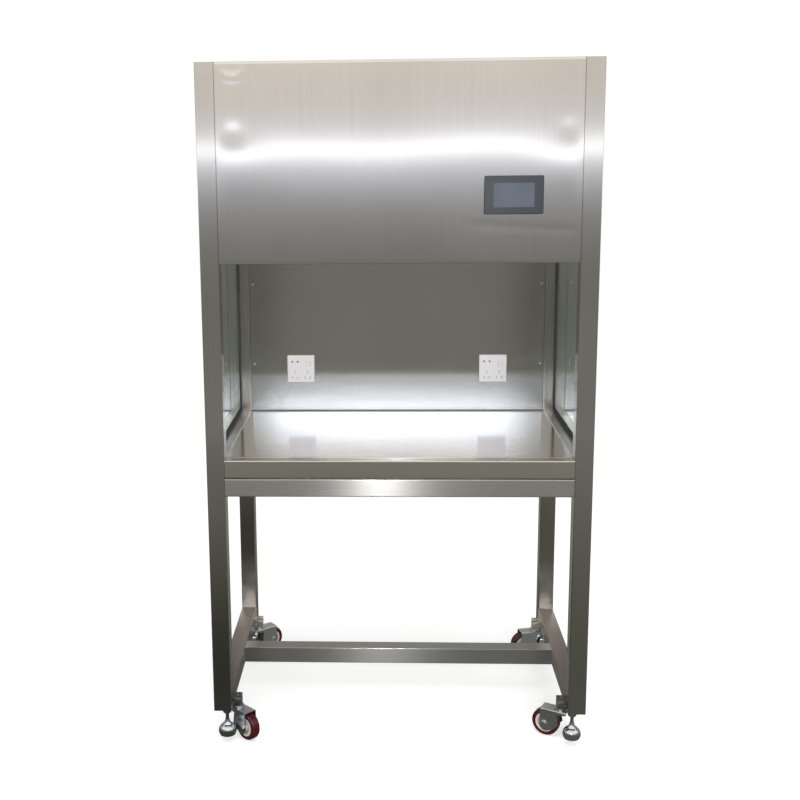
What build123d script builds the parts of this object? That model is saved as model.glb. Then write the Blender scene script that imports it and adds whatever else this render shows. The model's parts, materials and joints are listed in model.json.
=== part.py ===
from build123d import *
import math
import os

# Vertical laminar flow hood on a stainless steel stand. Millimetres, +Z up.
# The front faces -Y, the floor is z = 0 and the four posts are centred on x = 0.
# Every sub-part is built with y = 0 at the posts' front faces. place() then moves
# it so that the origin lies under the middle of the whole object.

# ---- driving dimensions: frame ---------------------------------------------
width = 1050.0              # over the posts
depth = 710.0               # over the posts
height = 1890.0             # floor to the top of the posts
tube = 50.0                 # square tube of posts and rails
tube_wall = 1.5
tube_corner = 3.0           # outside corner radius of the tube
front_rail_depth = 40.0     # the two front rails are 40 x 50 tube
leg_bottom = 102.0          # floor to the foot of the posts
worktop_top = 836.0
rail_gap = 2.0              # slit between the two front rails
header_height = 520.0       # lower edge of the filter and fan header up to the top
cap = 3.0                   # plates that close the posts' ends
nut_plate = 8.0             # thicker plate that takes the foot's thread
cutter = 1.0                # how far a cutting block overshoots the face it opens

# ---- driving dimensions: sheet metal ---------------------------------------
sheet = 1.2
bend = 1.6                  # outside radius of a fold
fold = 25.0                 # height of the folded edges
panel_gap = 2.0             # seam between the header panel and a post
wall_recess = 2.0           # chamber back wall behind the rear posts' front faces
wall_foot_gap = 6.0         # open joint between back wall and worktop
wall_fold = 20.0
worktop_sheet = 1.5
rib_from_side = 325.0       # worktop stiffeners, in from the posts' outer faces
rib = (40.0, 20.0)          # width and height of a stiffener
hanger = 6.0                # strips that hang the header panel between the posts
hanger_inset = 40.0         # from the panel's top and bottom to the strips' ends
lid_notch = 9.0

# ---- driving dimensions: windows -------------------------------------------
glass = 5.0
glass_inset = 10.0          # outer glass face inside the posts' outer faces
seal_lip = 9.0              # how far the seal reaches over the glass
seal_side = 2.5             # seal thickness on each side of the glass
seal_edge = 3.0             # seal thickness around the glass edge

# ---- driving dimensions: filter, lamp and fan ------------------------------
ledge = 30.0                # legs of the angle ring that carries the filter
ledge_wall = 3.0
ledge_rise = 16.0           # above the header's lower edge
filter_side_gap = 25.0      # filter to the posts' outer faces
filter_end_gap = 6.0        # filter to the posts' inner faces
filter_height = 70.0
filter_wall = 15.0
pleats = 48
pleat_height = 56.0
pleat_thickness = 4.0       # measured upright, so about 0.7 mm of paper
diffuser_slot = (170.0, 8.0)
diffuser_columns = 5
diffuser_rows = 13
diffuser_margin = (30.0, 65.0)  # between the filter's outline and the slots' field
diffuser_shift = 18.0       # the field sits back to leave room for the lamp
lamp_end_gap = 95.0         # lamp to the posts' outer faces
lamp_from_post = 26.0
lamp_tube_radius = 7.0
lamp_gap = 1.0              # tube to batten
batten = (22.0, 5.0)        # width and height
holder = (12.0, 18.0, 14.0)     # length, width and drop of a lamp holder
deck_rise = 175.5           # above the filter ledge
deck_sheet = 1.5
fan_x = 40.0                # middle of the fan scroll
fan_rise = 158.5            # fan shaft above the deck
fan_width = 220.0
wheel_radius = 100.0
wheel_width = 190.0
wheel_ring = 2.5
wheel_bore = 83.0
centre_plate = 3.0
hub_size = (20.0, 36.0)     # radius and length
blades = 30
blade_root = 84.0
blade_tip = 98.0
blade_lean = 16.0           # degrees that the tip leads the root by
blade_belly = 0.28          # share of the lean at half height
blade_sheet = 1.0           # blade thickness in degrees of the wheel
shaft_radius = 7.0
shaft_fit = 0.06            # radial play of a shaft or pin in its bore
motor_radius = 54.0
motor_length = 115.0
motor_x = -160.0            # middle of the motor
motor_nose = (24.0, 8.0)    # radius and length of the boss round the shaft
motor_foot = (50.0, 6.0)    # half width and thickness of the bent stand
motor_inset = 15.0          # motor ends to the stand and to the shaft's end
scroll_flange = (20.0, 2.0)     # width and thickness
intake_rows = 17
intake_pitch = 18.0
intake_slot_length = 290.0
intake_slot_width = 8.0
prefilter_width = 620.0
prefilter_depth = 330.0
prefilter_height = 20.0
guide_lip = 12.0
scroll_top = 138.0          # the scroll's reach above the shaft, and so on round it
scroll_front = 126.0
scroll_under = 114.0
scroll_back = 150.0
tongue = (56.0, -97.0)      # where the spiral meets the outlet's front wall
inlet_radius = 78.0

# ---- driving dimensions: controls and sockets ------------------------------
bezel_from_side = 227.0     # screen's middle to the post's outer face
bezel_rise = 176.0          # and to the header's lower edge
bezel_width = 153.0
bezel_height = 99.0
bezel_proud = 6.0
bezel_lip = 6.0             # how far the rim covers the panel round its cut-out
bezel_corner = 5.0
bezel_bevel = 1.5
bezel_body = 38.0           # depth of the housing behind the panel
screen_width = 106.0
screen_height = 63.0
screen_thickness = 2.0
screen_recess = 0.8
socket_from_side = 214.0
socket_rise = 139.0         # above the worktop
socket_side = 88.0
socket_proud = 8.0
socket_body = 60.0          # the part that sinks into the wall
socket_body_depth = 34.0
socket_corner = 4.0
socket_edge = 2.0
socket_hole = 3.0           # radius
socket_slot = (9.0, 2.4)
socket_hole_depth = 9.0
rocker_side = 13.0
rocker_depth = 9.0
rocker_play = 0.8
rocker_tilt = 4.0           # degrees either side of level
rocker_proud = 1.2
rocker_bevel = 3.0
gland_from_side = 145.0
gland_rise = 270.0
gland_reach = 22.0
gland_hex = (12.0, 8.0)     # corner radius and height
gland_cap = 10.5
gland_nut = 5.0
gland_inside = 15.0
cable_bore = 5.0
gland_thread = 8.0
control_box_size = (200.0, 130.0, 90.0)
control_box_from_side = 75.0
control_box_from_post = 60.0
control_box_sheet = 2.0

# ---- driving dimensions: screws --------------------------------------------
screw_radius = 4.0
screw_height = 2.2
screw_rounding = 1.2
screw_inset = 12.0          # from the edge of the sheet that a screw holds
wall_screw_ends = (154.0, 120.0)    # above the worktop and below the header
rear_screw_rows = 4
rear_screw_ends = (64.0, 90.0)      # above the worktop and below the top
lid_screw_end = 120.0

# ---- driving dimensions: casters -------------------------------------------
swivel_from_side = 61.0
swivel_y = 66.0             # from the nearer end of the frame
trail = 42.0                # swivel axis to wheel axle
caster_radius = 40.0
tread_width = 28.0
hub_radius = 28.0
rim_half = 13.0             # half the width of the hub's rim
boss_half = 17.7            # half the length of the hub's boss
crown_top = 86.0
fork_sheet = 2.5
fork_width = 41.0
fork_front = 54.0           # end of the crown past the swivel axis
fork_back = -24.0
axle_radius = 5.0
stem_radius = 6.0
bearing_radius = 17.0
bearing_height = 4.0
stem_block_width = 22.0
stem_block_depth = 28.0
stem_block_height = 32.0

# ---- driving dimensions: levelling feet ------------------------------------
foot_from_side = 34.0
foot_y = 25.0               # from the nearer end of the frame
foot_bottom = 20.0          # the feet hang clear while the hood stands on its casters
foot_radius = 25.5
stud_radius = 5.0
stud_length = 138.0

# ---- worked out from the above ---------------------------------------------
half = width / 2
post_x = half - tube / 2
inner = half - tube                         # inner faces of the posts
rear_face = depth - tube                    # front faces of the rear posts
rail_top = worktop_top
rail_bottom = worktop_top - tube
wall_y = rear_face + wall_recess
header_bottom = height - header_height
ledge_bottom = header_bottom + ledge_rise
deck_top = ledge_bottom + deck_rise
filter_width = width - 2 * filter_side_gap
filter_depth = depth - 2 * tube - 2 * filter_end_gap
lamp_length = width - 2 * lamp_end_gap
lamp_y = tube + lamp_from_post
fan_z = deck_top + fan_rise
ring_x = half - sheet - 1                   # ledge, diffuser and deck clear the side panels
bezel_x = half - bezel_from_side
bezel_z = header_bottom + bezel_rise
socket_x = half - socket_from_side
socket_z = worktop_top + socket_rise
gland_x = -half + gland_from_side
gland_z = header_bottom + gland_rise
swivel_x = half - swivel_from_side
foot_x = half - foot_from_side
glass_out = half - glass_inset
glass_in = glass_out - glass
origin_y = (depth + gland_reach - bezel_proud) / 2
middle_y = depth / 2
ENDS = {"front": 1, "rear": -1}
SIDES = {"left": -1, "right": 1}
CORNERS = [(end, side) for end in ENDS for side in SIDES]
# places on a socket plate, as shares of its side from the top left corner
ROCKER_AT = (0.78, 0.30)
ROUND_HOLES = [(0.18, 0.23), (0.38, 0.23)]
# upright earth slots, then the slanted live and neutral slots, with their angles
SLOTS = [(0.28, 0.62, 90), (0.74, 0.62, 90), (0.18, 0.82, -60), (0.37, 0.82, 60),
         (0.64, 0.82, -60), (0.83, 0.82, 60)]
# direction in which each caster trails, in degrees from +X
TRAIL_ANGLE = {("front", "left"): -44.0, ("front", "right"): 150.0,
               ("rear", "left"): 38.0, ("rear", "right"): -166.0}

parts = {}


def place(name, shape):
    """Move a finished sub-part from the building frame to the object's own frame."""
    parts[name] = Pos(0, -origin_y, 0) * shape


def block(x0, x1, y0, y1, z0, z1):
    return Pos((x0 + x1) / 2, (y0 + y1) / 2, (z0 + z1) / 2) * Box(x1 - x0, y1 - y0, z1 - z0)


def rod(radius, start, end):
    """A cylinder between two points."""
    axis = Vector(*end) - Vector(*start)
    return extrude(Plane(origin=start, z_dir=axis) * Circle(radius), axis.length)


def hollow(section_width, section_height):
    outer = RectangleRounded(section_width, section_height, tube_corner)
    bore = RectangleRounded(section_width - 2 * tube_wall, section_height - 2 * tube_wall,
                            tube_corner - tube_wall)
    return outer - bore


def rail_along_x(x0, x1, y0, y1, z0, z1):
    plane = Plane(origin=(x0, (y0 + y1) / 2, (z0 + z1) / 2), x_dir=(0, 1, 0), z_dir=(1, 0, 0))
    return extrude(plane * hollow(y1 - y0, z1 - z0), x1 - x0)


def rail_along_y(x0, x1, y0, y1, z0, z1):
    plane = Plane(origin=((x0 + x1) / 2, y0, (z0 + z1) / 2), x_dir=(1, 0, 0), z_dir=(0, 1, 0))
    return extrude(plane * hollow(x1 - x0, z1 - z0), y1 - y0)


def from_end(end, y):
    """A y counted from the front face at the front, and from the rear face at the rear."""
    return y if end == "front" else depth - y


def span(a, b):
    return min(a, b), max(a, b)


# ---- posts -----------------------------------------------------------------
def post(end, side):
    x = SIDES[side] * post_x
    y = from_end(end, tube / 2)
    body = Pos(x, y, leg_bottom) * extrude(hollow(tube, tube), height - leg_bottom)
    plug = tube - 2 * tube_wall
    body += block(x - plug / 2, x + plug / 2, y - plug / 2, y + plug / 2, height - cap, height)
    body += block(x - plug / 2, x + plug / 2, y - plug / 2, y + plug / 2,
                  leg_bottom, leg_bottom + nut_plate)
    stud = (SIDES[side] * foot_x, from_end(end, foot_y))
    return body - rod(stud_radius + shaft_fit, (*stud, leg_bottom - cutter),
                      (*stud, leg_bottom + nut_plate + cutter))


# ---- rails -----------------------------------------------------------------
def base_rail(side):
    """Foot rail with the two welded blocks that take the caster stems."""
    x0, x1 = span(SIDES[side] * inner, SIDES[side] * half)
    body = rail_along_y(x0, x1, tube, rear_face, leg_bottom, leg_bottom + tube)
    b0, b1 = span(SIDES[side] * inner, SIDES[side] * (inner - stem_block_width))
    z0 = crown_top + bearing_height
    for end in ENDS:
        y = from_end(end, swivel_y)
        body += block(b0, b1, y - stem_block_depth / 2, y + stem_block_depth / 2,
                      z0, z0 + stem_block_height)
        x = SIDES[side] * swivel_x
        body -= rod(stem_radius, (x, y, z0 - cutter), (x, y, z0 + stem_block_height + cutter))
    return body


# ---- sheet metal -----------------------------------------------------------
def folded_edges(solid, axis, position, along=None):
    """Round the outline of the face at `position` on `axis`, or its edges along one axis."""
    outline = solid.edges().filter_by_position(axis, position - 0.01, position + 0.01)
    if along:
        outline = outline.filter_by(along)
    return fillet(outline, bend)


def front_header_panel():
    """Tray between the front posts, with the touchscreen's cut-out."""
    x = inner - panel_gap
    tray = folded_edges(block(-x, x, 0, fold, header_bottom, height), Axis.Y, 0)
    tray -= block(-x + sheet, x - sheet, sheet, fold + cutter, header_bottom + sheet, height - sheet)
    for side in SIDES.values():       # welded hangers close the seam behind the skin
        x0, x1 = span(side * (x - sheet / 2), side * inner)
        tray += block(x0, x1, fold - hanger, fold, header_bottom + hanger_inset, height - hanger_inset)
    cut_x, cut_z = bezel_width / 2 - bezel_lip, bezel_height / 2 - bezel_lip
    return tray - block(bezel_x - cut_x, bezel_x + cut_x, -cutter, fold + cutter,
                        bezel_z - cut_z, bezel_z + cut_z)


def header_side_panel(side):
    """Sheet between a front and a rear post, folded in at its top and bottom."""
    sign = SIDES[side]
    x0, x1 = span(sign * half, sign * (half - fold))
    skin = block(x0, x1, tube, rear_face, header_bottom, height)
    skin = folded_edges(skin, Axis.X, sign * half, along=Axis.Y)
    i0, i1 = span(sign * (half - sheet), sign * (half - fold - cutter))
    return skin - block(i0, i1, tube - cutter, rear_face + cutter, header_bottom + sheet, height - sheet)


def rear_panel():
    """Outer back between the rear posts, from the table rail to the top."""
    tray = folded_edges(block(-inner, inner, depth - fold, depth, worktop_top, height), Axis.Y, depth)
    tray -= block(-inner + sheet, inner - sheet, depth - fold - cutter, depth - sheet,
                  worktop_top + sheet, height - sheet)
    return tray - rod(gland_thread, (gland_x, depth - sheet - cutter, gland_z),
                      (gland_x, depth + cutter, gland_z))


def top_panel():
    """Lid notched around the posts, with the intake slots and the filter's guides."""
    lid_y0, lid_y1 = fold, depth - fold
    lid_x = half - fold
    lid = block(-lid_x, lid_x, lid_y0, lid_y1, height - sheet, height)
    for side in SIDES.values():
        x0, x1 = span(side * inner, side * (lid_x + cutter))
        for y0, y1 in ((lid_y0 - cutter, tube), (rear_face, lid_y1 + cutter)):
            lid -= block(x0, x1, y0, y1, height - lid_notch, height + cutter)
    slot = SlotOverall(intake_slot_length, intake_slot_width)
    for column in (-1, 1):
        for row in range(intake_rows):
            y = middle_y + (row - (intake_rows - 1) / 2) * intake_pitch
            x = column * (intake_slot_length + intake_pitch) / 2
            lid -= Pos(x, y, height - sheet - cutter) * extrude(slot, sheet + 2 * cutter)
    for side in (-1, 1):              # the pre-filter slides in on two bent guides
        y0, y1 = span(middle_y + side * prefilter_depth / 2,
                      middle_y + side * (prefilter_depth / 2 + sheet))
        lid += block(-prefilter_width / 2, prefilter_width / 2, y0, y1,
                     height - sheet - prefilter_height - sheet, height - sheet)
        f0, f1 = span(middle_y + side * (prefilter_depth / 2 + sheet),
                      middle_y + side * (prefilter_depth / 2 - guide_lip))
        lid += block(-prefilter_width / 2, prefilter_width / 2, f0, f1,
                     height - 2 * sheet - prefilter_height, height - sheet - prefilter_height)
    return lid


def back_wall():
    """Chamber liner between the rear posts, with the two socket cut-outs."""
    z0 = worktop_top + wall_foot_gap
    tray = block(-inner, inner, wall_y, wall_y + wall_fold, z0, ledge_bottom)
    tray = folded_edges(tray, Axis.Y, wall_y)
    tray -= block(-inner + sheet, inner - sheet, wall_y + sheet, wall_y + wall_fold + cutter,
                  z0 + sheet, ledge_bottom - sheet)
    for side in SIDES.values():
        x = side * socket_x
        tray -= block(x - socket_body / 2, x + socket_body / 2, wall_y - cutter, wall_y + wall_fold,
                      socket_z - socket_body / 2, socket_z + socket_body / 2)
    return tray


def worktop():
    """Folded pan between the four table rails."""
    x, y0, y1 = inner, front_rail_depth, rear_face
    pan = folded_edges(block(-x, x, y0, y1, worktop_top - fold, worktop_top), Axis.Z, worktop_top)
    pan -= block(-x + worktop_sheet, x - worktop_sheet, y0 + worktop_sheet, y1 - worktop_sheet,
                 worktop_top - fold - cutter, worktop_top - worktop_sheet)
    for side in SIDES.values():       # stiffeners welded under the pan
        x_rib = side * (half - rib_from_side)
        pan += rail_along_y(x_rib - rib[0] / 2, x_rib + rib[0] / 2, y0 + worktop_sheet,
                            y1 - worktop_sheet, worktop_top - worktop_sheet - rib[1],
                            worktop_top - worktop_sheet)
    return pan


# ---- side windows ----------------------------------------------------------
def window(side):
    x0, x1 = span(SIDES[side] * glass_in, SIDES[side] * glass_out)
    return block(x0, x1, tube + seal_edge, rear_face - seal_edge,
                 worktop_top + seal_edge, header_bottom - seal_edge)


def window_seal(side):
    sign = SIDES[side]
    x0, x1 = span(sign * (glass_in - seal_side), sign * (glass_out + seal_side))
    ring = block(x0, x1, tube, rear_face, worktop_top, header_bottom)
    ring -= block(x0 - cutter, x1 + cutter, tube + seal_edge + seal_lip, rear_face - seal_edge - seal_lip,
                  worktop_top + seal_edge + seal_lip, header_bottom - seal_edge - seal_lip)
    return ring - window(side)


# ---- filter, diffuser and lamp ---------------------------------------------
def filter_ledge():
    """Mitred angle ring welded to the posts. The filter stands on it."""
    ring = block(-ring_x, ring_x, tube, rear_face, ledge_bottom, ledge_bottom + ledge)
    ring -= block(-ring_x + ledge_wall, ring_x - ledge_wall, tube + ledge_wall, rear_face - ledge_wall,
                  ledge_bottom + ledge_wall, ledge_bottom + ledge + cutter)
    return ring - block(-ring_x + ledge, ring_x - ledge, tube + ledge, rear_face - ledge,
                        ledge_bottom - cutter, ledge_bottom + ledge_wall + cutter)


def filter_frame():
    z0 = ledge_bottom + ledge_wall
    outer = block(-filter_width / 2, filter_width / 2, middle_y - filter_depth / 2,
                  middle_y + filter_depth / 2, z0, z0 + filter_height)
    opening_x = filter_width / 2 - filter_wall
    opening_y = filter_depth / 2 - filter_wall
    return outer - block(-opening_x, opening_x, middle_y - opening_y, middle_y + opening_y,
                         z0 - cutter, z0 + filter_height + cutter)


def filter_pack():
    """One pleated sheet of paper that fills the filter frame."""
    z0 = ledge_bottom + ledge_wall + (filter_height - pleat_height - pleat_thickness) / 2
    pitch = (filter_width - 2 * filter_wall) / pleats
    start = -filter_width / 2 + filter_wall
    lower = []
    for i in range(2 * pleats + 1):
        lower.append((start + i * pitch / 2, z0 + (pleat_height if i % 2 else 0.0)))
    upper = [(x, z + pleat_thickness) for x, z in reversed(lower)]
    plane = Plane(origin=(0, middle_y - filter_depth / 2 + filter_wall, 0),
                  x_dir=(1, 0, 0), z_dir=(0, -1, 0))
    outline = make_face(plane * Polyline(*lower, *upper, close=True))
    return extrude(outline, -(filter_depth - 2 * filter_wall))


def diffuser():
    """Slotted sheet under the filter that evens out the air."""
    plate = block(-ring_x, ring_x, tube, rear_face, ledge_bottom - sheet, ledge_bottom)
    pitch_x = (filter_width - 2 * diffuser_margin[0]) / diffuser_columns
    pitch_y = (filter_depth - 2 * diffuser_margin[1]) / diffuser_rows
    hole = extrude(SlotOverall(*diffuser_slot), sheet + 2 * cutter)
    for column in range(diffuser_columns):
        for row in range(diffuser_rows):
            x = (column - (diffuser_columns - 1) / 2) * pitch_x
            y = middle_y + diffuser_shift + (row - (diffuser_rows - 1) / 2) * pitch_y
            plate -= Pos(x, y, ledge_bottom - sheet - cutter) * hole
    return plate


def lamp_batten():
    z1 = ledge_bottom - sheet
    z0 = z1 - batten[1]
    body = block(-lamp_length / 2, lamp_length / 2, lamp_y - batten[0] / 2, lamp_y + batten[0] / 2, z0, z1)
    for side in SIDES.values():
        x0, x1 = span(side * lamp_length / 2, side * (lamp_length / 2 - holder[0]))
        body += block(x0, x1, lamp_y - holder[1] / 2, lamp_y + holder[1] / 2, z0 - holder[2], z0)
    return body


def lamp_tube():
    z = ledge_bottom - sheet - batten[1] - lamp_gap - lamp_tube_radius
    x = lamp_length / 2 - holder[0]
    return rod(lamp_tube_radius, (-x, lamp_y, z), (x, lamp_y, z))


# ---- fan -------------------------------------------------------------------
def scroll_outline(grow=0.0, drop=0.0):
    """Side view of the fan housing in y and z about the shaft, `grow` wider all round."""
    bottom = deck_top - fan_z - drop
    back, top = scroll_back + grow, scroll_top + grow
    front, under = scroll_front + grow, scroll_under + grow
    tip = (tongue[0] - grow, tongue[1] - grow)
    knee = math.sqrt(0.5)
    plane = Plane(origin=(0, middle_y, fan_z), x_dir=(0, 1, 0), z_dir=(1, 0, 0))
    middle = (under + math.hypot(*tip)) / 2
    turn = math.atan2(tip[0], -tip[1]) / 2
    line = [
        Line((back, bottom), (back, 0)),
        ThreePointArc((back, 0), ((back + top) / 2 * knee, (back + top) / 2 * knee), (0, top)),
        ThreePointArc((0, top), (-(top + front) / 2 * knee, (top + front) / 2 * knee), (-front, 0)),
        ThreePointArc((-front, 0), (-(front + under) / 2 * knee, -(front + under) / 2 * knee),
                      (0, -under)),
        ThreePointArc((0, -under), (middle * math.sin(turn), -middle * math.cos(turn)), tip),
        Line(tip, (tip[0], bottom)),
        Line((tip[0], bottom), (back, bottom)),
    ]
    return plane * make_face(line)


def fan_scroll():
    x0 = fan_x - fan_width / 2
    outer = Pos(x0, 0, 0) * extrude(scroll_outline(), fan_width)
    cavity = Pos(x0 + sheet, 0, 0) * extrude(scroll_outline(-sheet, cutter), fan_width - 2 * sheet)
    body = outer - cavity
    body -= rod(inlet_radius, (x0 - cutter, middle_y, fan_z), (x0 + fan_width + cutter, middle_y, fan_z))
    rim, plate = scroll_flange
    flange = block(x0 - rim, x0 + fan_width + rim, middle_y + tongue[0] - rim,
                   middle_y + scroll_back + rim, deck_top, deck_top + plate)
    mouth = block(x0, x0 + fan_width, middle_y + tongue[0], middle_y + scroll_back,
                  deck_top - cutter, deck_top + plate + cutter)
    return body + (flange - mouth)


def blade(angle):
    """One forward-curved blade as a thin crescent in the wheel's side view."""
    def spot(radius, turn):
        radians = math.radians(angle + turn)
        return (radius * math.cos(radians), radius * math.sin(radians))

    def side_of_blade(turn):
        middle = (blade_root + blade_tip) / 2
        return [spot(blade_root, turn), spot(middle, turn + blade_belly * blade_lean),
                spot(blade_tip, turn + blade_lean)]

    leading, trailing = side_of_blade(blade_sheet), side_of_blade(0)
    return make_face([
        ThreePointArc(*trailing),
        Line(trailing[-1], leading[-1]),
        ThreePointArc(*leading),
        Line(leading[0], trailing[0]),
    ])


def fan_wheel():
    """Blades between two rings, on a centre plate with its hub and shaft."""
    x0 = fan_x - wheel_width / 2
    plane = Plane(origin=(x0, middle_y, fan_z), x_dir=(0, 1, 0), z_dir=(1, 0, 0))
    ring = Circle(wheel_radius) - Circle(wheel_bore)
    hub_r, hub_length = hub_size
    wheel = extrude(plane * ring, wheel_ring)
    wheel += extrude(plane.offset(wheel_width - wheel_ring) * ring, wheel_ring)
    wheel += extrude(plane.offset((wheel_width - centre_plate) / 2) * Circle(wheel_radius), centre_plate)
    for i in range(blades):
        wheel += extrude(plane * blade(i * 360 / blades), wheel_width)
    wheel += extrude(plane.offset((wheel_width - hub_length) / 2) * Circle(hub_r), hub_length)
    return wheel + rod(shaft_radius, (motor_x - motor_length / 2 + motor_inset, middle_y, fan_z),
                       (fan_x + hub_length / 2, middle_y, fan_z))


def fan_motor():
    x0, x1 = motor_x - motor_length / 2, motor_x + motor_length / 2
    body = rod(motor_radius, (x0, middle_y, fan_z), (x1, middle_y, fan_z))
    nose_radius, nose = motor_nose
    body += rod(nose_radius, (x1, middle_y, fan_z), (x1 + nose, middle_y, fan_z))
    body -= rod(shaft_radius + shaft_fit, (x0 + motor_inset - 5, middle_y, fan_z),
                (x1 + nose + cutter, middle_y, fan_z))
    foot_half, foot_plate = motor_foot
    s0, s1 = x0 + motor_inset, x1 - motor_inset
    stand = block(s0, s1, middle_y - foot_half, middle_y + foot_half, deck_top, deck_top + foot_plate)
    for side in (-1, 1):
        y0, y1 = span(middle_y + side * (foot_half - foot_plate), middle_y + side * foot_half)
        stand += block(s0 + 10, s1 - 10, y0, y1, deck_top, fan_z)
    clear = rod(motor_radius - 3, (x0 - cutter, middle_y, fan_z), (x1 + cutter, middle_y, fan_z))
    return body + (stand - clear)


def fan_deck():
    """Sheet that parts the intake side from the pressure side."""
    plate = block(-ring_x, ring_x, tube, rear_face, deck_top - deck_sheet, deck_top)
    x0 = fan_x - fan_width / 2 + sheet
    return plate - block(x0, x0 + fan_width - 2 * sheet, middle_y + tongue[0] + sheet,
                         middle_y + scroll_back - sheet, deck_top - deck_sheet - cutter, deck_top + cutter)


def prefilter():
    z1 = height - sheet
    return block(-prefilter_width / 2, prefilter_width / 2, middle_y - prefilter_depth / 2,
                 middle_y + prefilter_depth / 2, z1 - prefilter_height, z1)


def control_box():
    long, deep, tall = control_box_size
    x1 = half - control_box_from_side
    y1 = rear_face - control_box_from_post
    wall = control_box_sheet
    box = block(x1 - long, x1, y1 - deep, y1, deck_top, deck_top + tall)
    return box - block(x1 - long + wall, x1 - wall, y1 - deep + wall, y1 - wall,
                       deck_top + wall, deck_top + tall - wall)


# ---- touchscreen -----------------------------------------------------------
def screen_bezel():
    """Moulded housing: the rim in front of the panel and the body behind it."""
    plane = Plane(origin=(bezel_x, 0, bezel_z), x_dir=(1, 0, 0), z_dir=(0, -1, 0))
    rim = extrude(plane * RectangleRounded(bezel_width, bezel_height, bezel_corner), bezel_proud)
    rim = chamfer(rim.faces().sort_by(Axis.Y)[0].edges(), bezel_bevel)
    cut_x, cut_z = bezel_width / 2 - bezel_lip, bezel_height / 2 - bezel_lip
    body = rim + block(bezel_x - cut_x, bezel_x + cut_x, 0, bezel_body, bezel_z - cut_z, bezel_z + cut_z)
    return body - block(bezel_x - screen_width / 2, bezel_x + screen_width / 2, -bezel_proud - cutter,
                        -bezel_proud + screen_thickness + screen_recess,
                        bezel_z - screen_height / 2, bezel_z + screen_height / 2)


def screen():
    y0 = -bezel_proud + screen_recess
    return block(bezel_x - screen_width / 2, bezel_x + screen_width / 2, y0, y0 + screen_thickness,
                 bezel_z - screen_height / 2, bezel_z + screen_height / 2)


# ---- sockets ---------------------------------------------------------------
def socket_point(side, across, down):
    """A place on a socket plate, as shares of its side from the top left corner."""
    x = SIDES[side] * socket_x + (across - 0.5) * socket_side
    return x, socket_z + (0.5 - down) * socket_side


def socket_plate(side):
    x = SIDES[side] * socket_x
    plane = Plane(origin=(x, wall_y, socket_z), x_dir=(1, 0, 0), z_dir=(0, -1, 0))
    body = extrude(plane * RectangleRounded(socket_side, socket_side, socket_corner), socket_proud)
    body = fillet(body.faces().sort_by(Axis.Y)[0].edges(), socket_edge)
    body += block(x - socket_body / 2, x + socket_body / 2, wall_y, wall_y + socket_body_depth,
                  socket_z - socket_body / 2, socket_z + socket_body / 2)
    front = plane.offset(socket_proud + cutter)
    cut = -(socket_hole_depth + cutter)
    for across, down in ROUND_HOLES:
        px, pz = socket_point(side, across, down)
        body -= extrude(front * (Pos(px - x, pz - socket_z) * Circle(socket_hole)), cut)
    for across, down, angle in SLOTS:
        px, pz = socket_point(side, across, down)
        slot = Pos(px - x, pz - socket_z) * Rot(0, 0, angle) * Rectangle(*socket_slot)
        body -= extrude(front * slot, cut)
    px, pz = socket_point(side, *ROCKER_AT)
    pocket = rocker_side + 2 * rocker_play
    return body - extrude(front * (Pos(px - x, pz - socket_z) * Rectangle(pocket, pocket)),
                          -(rocker_depth + rocker_play + 2 * cutter))


def socket_rocker(side):
    """Rocker that stands a little proud of the plate, pressed in at its top."""
    px, pz = socket_point(side, *ROCKER_AT)
    y_front = wall_y - socket_proud - rocker_proud
    key = block(-rocker_side / 2, rocker_side / 2, -rocker_depth / 2, rocker_depth / 2,
                -rocker_side / 2, rocker_side / 2)
    rear_edges = key.edges().filter_by(Axis.X).filter_by_position(Axis.Y, 1, rocker_depth)
    key = chamfer(rear_edges, rocker_bevel)
    return Pos(px, y_front + rocker_depth / 2, pz) * Rot(-rocker_tilt, 0, 0) * key


def power_gland():
    """Cable gland screwed through the outer back, with its lock nut inside."""
    plane = Plane(origin=(gland_x, depth, gland_z), x_dir=(1, 0, 0), z_dir=(0, 1, 0))
    corner, hex_height = gland_hex
    body = extrude(plane * RegularPolygon(corner, 6), hex_height)
    body += extrude(plane.offset(hex_height) * Circle(gland_cap), gland_reach - hex_height)
    body += extrude(plane.offset(-gland_inside) * Circle(gland_thread), gland_inside)
    body += extrude(plane.offset(-sheet - gland_nut) * RegularPolygon(corner, 6), gland_nut)
    return body - extrude(plane.offset(-gland_inside - cutter) * Circle(cable_bore),
                          gland_inside + gland_reach + 2 * cutter)


def panel_screws():
    """Pan-head screws of the back wall, the outer back and the lid, as one group."""
    screws = []
    low, high = worktop_top + rear_screw_ends[0], height - rear_screw_ends[1]
    for side in SIDES.values():
        for z in (worktop_top + wall_screw_ends[0], header_bottom - wall_screw_ends[1]):
            screws.append(pan_screw((side * (inner - screw_inset), wall_y, z), (0, -1, 0)))
        for row in range(rear_screw_rows):
            z = low + row * (high - low) / (rear_screw_rows - 1)
            screws.append(pan_screw((side * (inner - screw_inset), depth, z), (0, 1, 0)))
        for y in (lid_screw_end, middle_y, depth - lid_screw_end):
            screws.append(pan_screw((side * (half - fold - screw_inset), y, height), (0, 0, 1)))
    return Compound(children=screws)


def pan_screw(at, out):
    head = extrude(Plane(origin=at, z_dir=out) * Circle(screw_radius), screw_height)
    crown = head.faces().sort_by(Axis(at, out))[-1]
    return fillet(crown.edges(), screw_rounding)


# ---- casters ---------------------------------------------------------------
def swivel_point(end, side):
    return SIDES[side] * swivel_x, from_end(end, swivel_y)


def caster_frame(end, side):
    """Location of a caster: origin on the floor under the swivel, +X along the trail."""
    x, y = swivel_point(end, side)
    return Pos(x, y, 0) * Rot(0, 0, TRAIL_ANGLE[(end, side)])


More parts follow.
